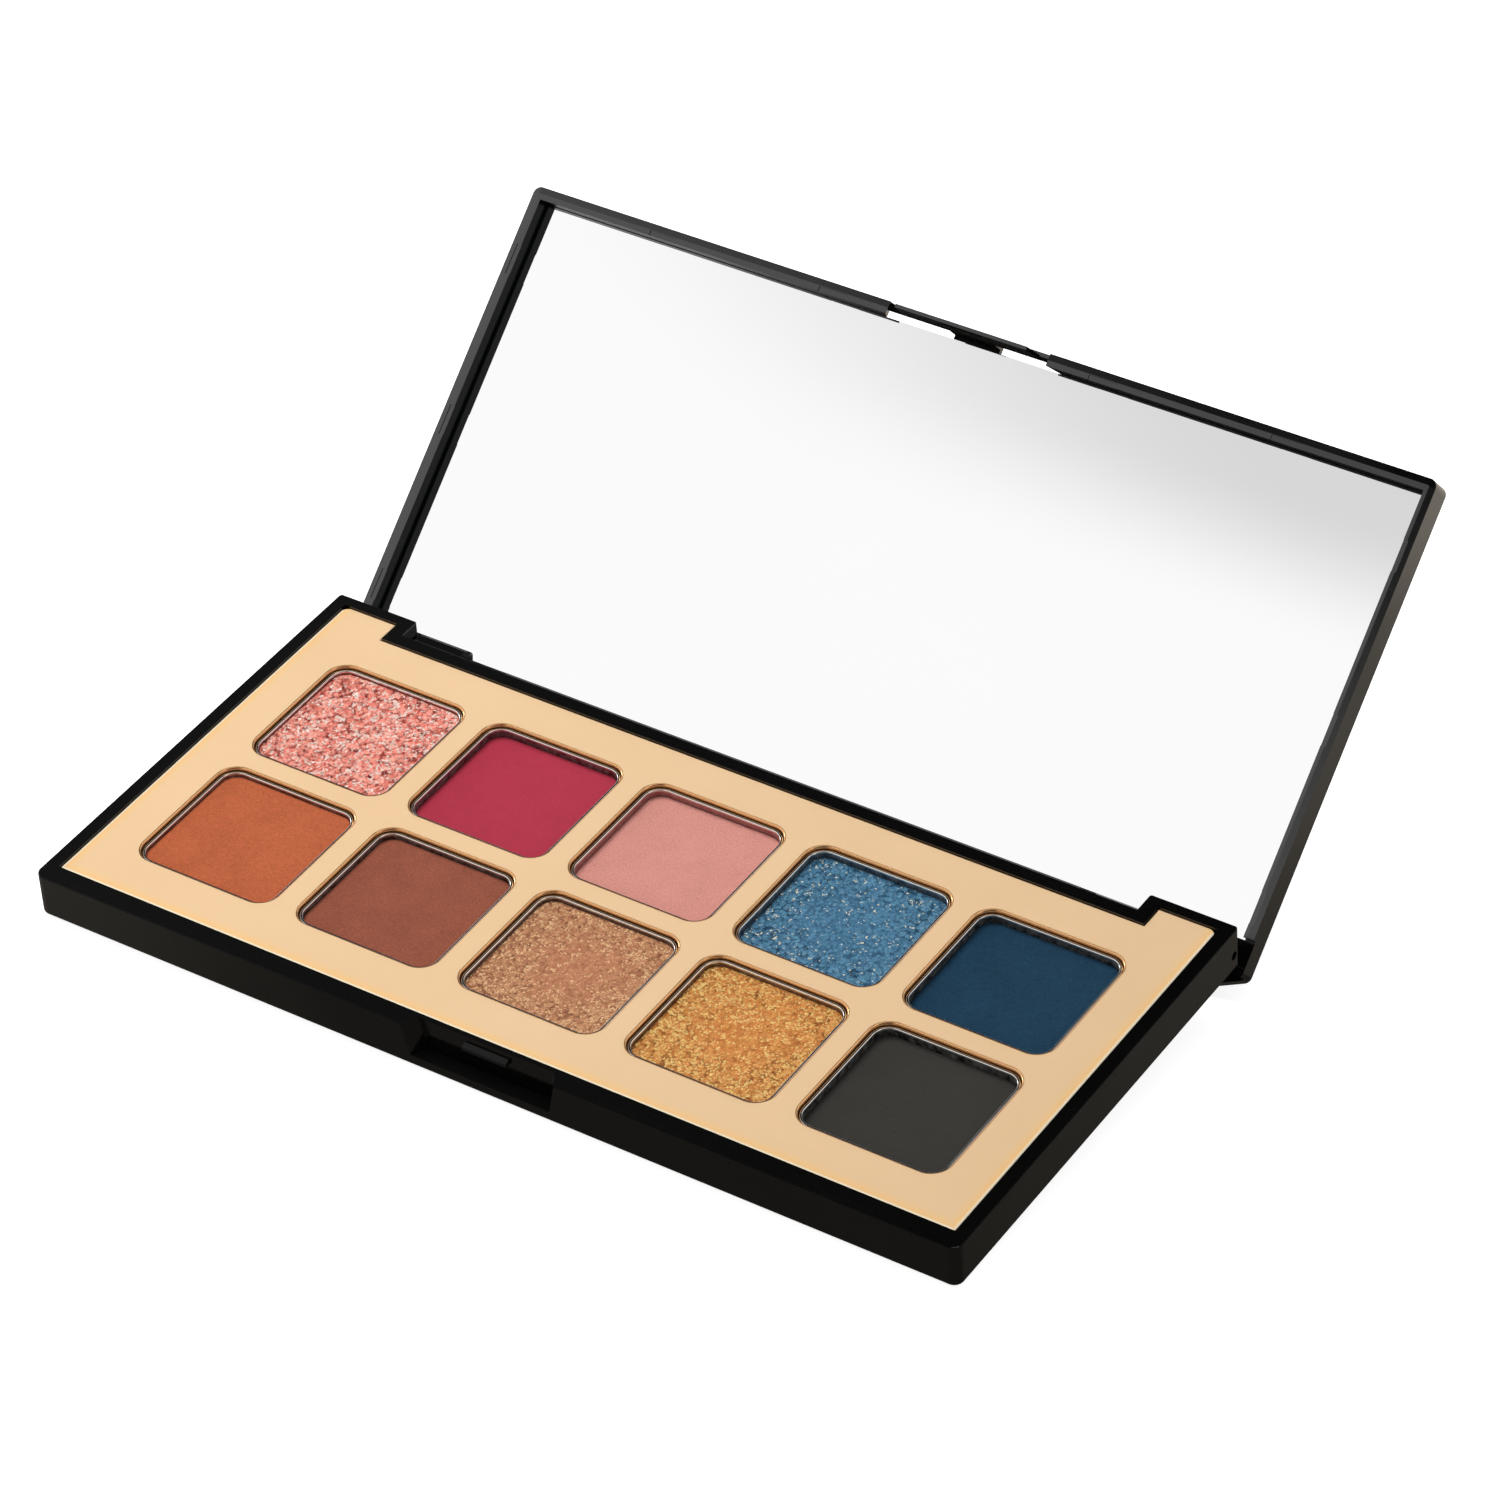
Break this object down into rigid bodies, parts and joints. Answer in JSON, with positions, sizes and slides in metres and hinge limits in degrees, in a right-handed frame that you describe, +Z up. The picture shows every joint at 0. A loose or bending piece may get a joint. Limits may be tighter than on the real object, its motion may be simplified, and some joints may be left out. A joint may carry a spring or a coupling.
{
  "type": "eyeshadow palette",
  "caption": "Open eyeshadow palette: flat black case with a hinged mirror lid, a metallised insert plate and two rows of square pans of pressed powder.",
  "frame": {"origin": "middle of the standing palette's box in X and Y, on the ground it stands on", "axes": "+X along the hinge to the right of someone facing the mirror, +Y from the thumb recess towards the hinge, +Z up"},
  "size_m": [0.15, 0.1264, 0.0595],
  "materials": {
    "black_shell": "glossy moulded black",
    "champagne_plate": "satin champagne metallised plastic",
    "tin_pan": "drawn tin",
    "steel_pin": "drawn wire",
    "mirror_glass": "silvered glass",
    "tape": "double-sided foam-free tape",
    "glue": "hot-melt dots",
    "powder_rose_foil": "pressed powder",
    "powder_raspberry": "pressed powder",
    "powder_dusty_pink": "pressed powder",
    "powder_steel_blue": "pressed powder",
    "powder_navy": "pressed powder",
    "powder_terracotta": "pressed powder",
    "powder_brown": "pressed powder",
    "powder_bronze": "pressed powder",
    "powder_gold": "pressed powder",
    "powder_charcoal": "pressed powder"
  },
  "bodies": {
    "base": {"base_shell": "black_shell", "hinge_pin_left": "steel_pin", "hinge_pin_right": "steel_pin", "insert_plate": "champagne_plate", "pan_01": "tin_pan", "pan_02": "tin_pan", "pan_03": "tin_pan", "pan_04": "tin_pan", "pan_05": "tin_pan", "pan_06": "tin_pan", "pan_07": "tin_pan", "pan_08": "tin_pan", "pan_09": "tin_pan", "pan_10": "tin_pan", "pan_glue": "glue", "powder_01_rose_foil": "powder_rose_foil", "powder_02_raspberry": "powder_raspberry", "powder_03_dusty_pink": "powder_dusty_pink", "powder_04_steel_blue": "powder_steel_blue", "powder_05_navy": "powder_navy", "powder_06_terracotta": "powder_terracotta", "powder_07_brown": "powder_brown", "powder_08_bronze": "powder_bronze", "powder_09_gold": "powder_gold", "powder_10_charcoal": "powder_charcoal"},
    "lid": {"lid_shell": "black_shell", "mirror": "mirror_glass", "mirror_tape": "tape"}
  },
  "joints": [
    {"name": "lid_hinge", "type": "hinge", "parent": "base", "child": "lid", "pos_m": [0, 0.00779, 0.00967], "axis": [1, 0, 0], "range_deg": [0, 139.3]}
  ]
}
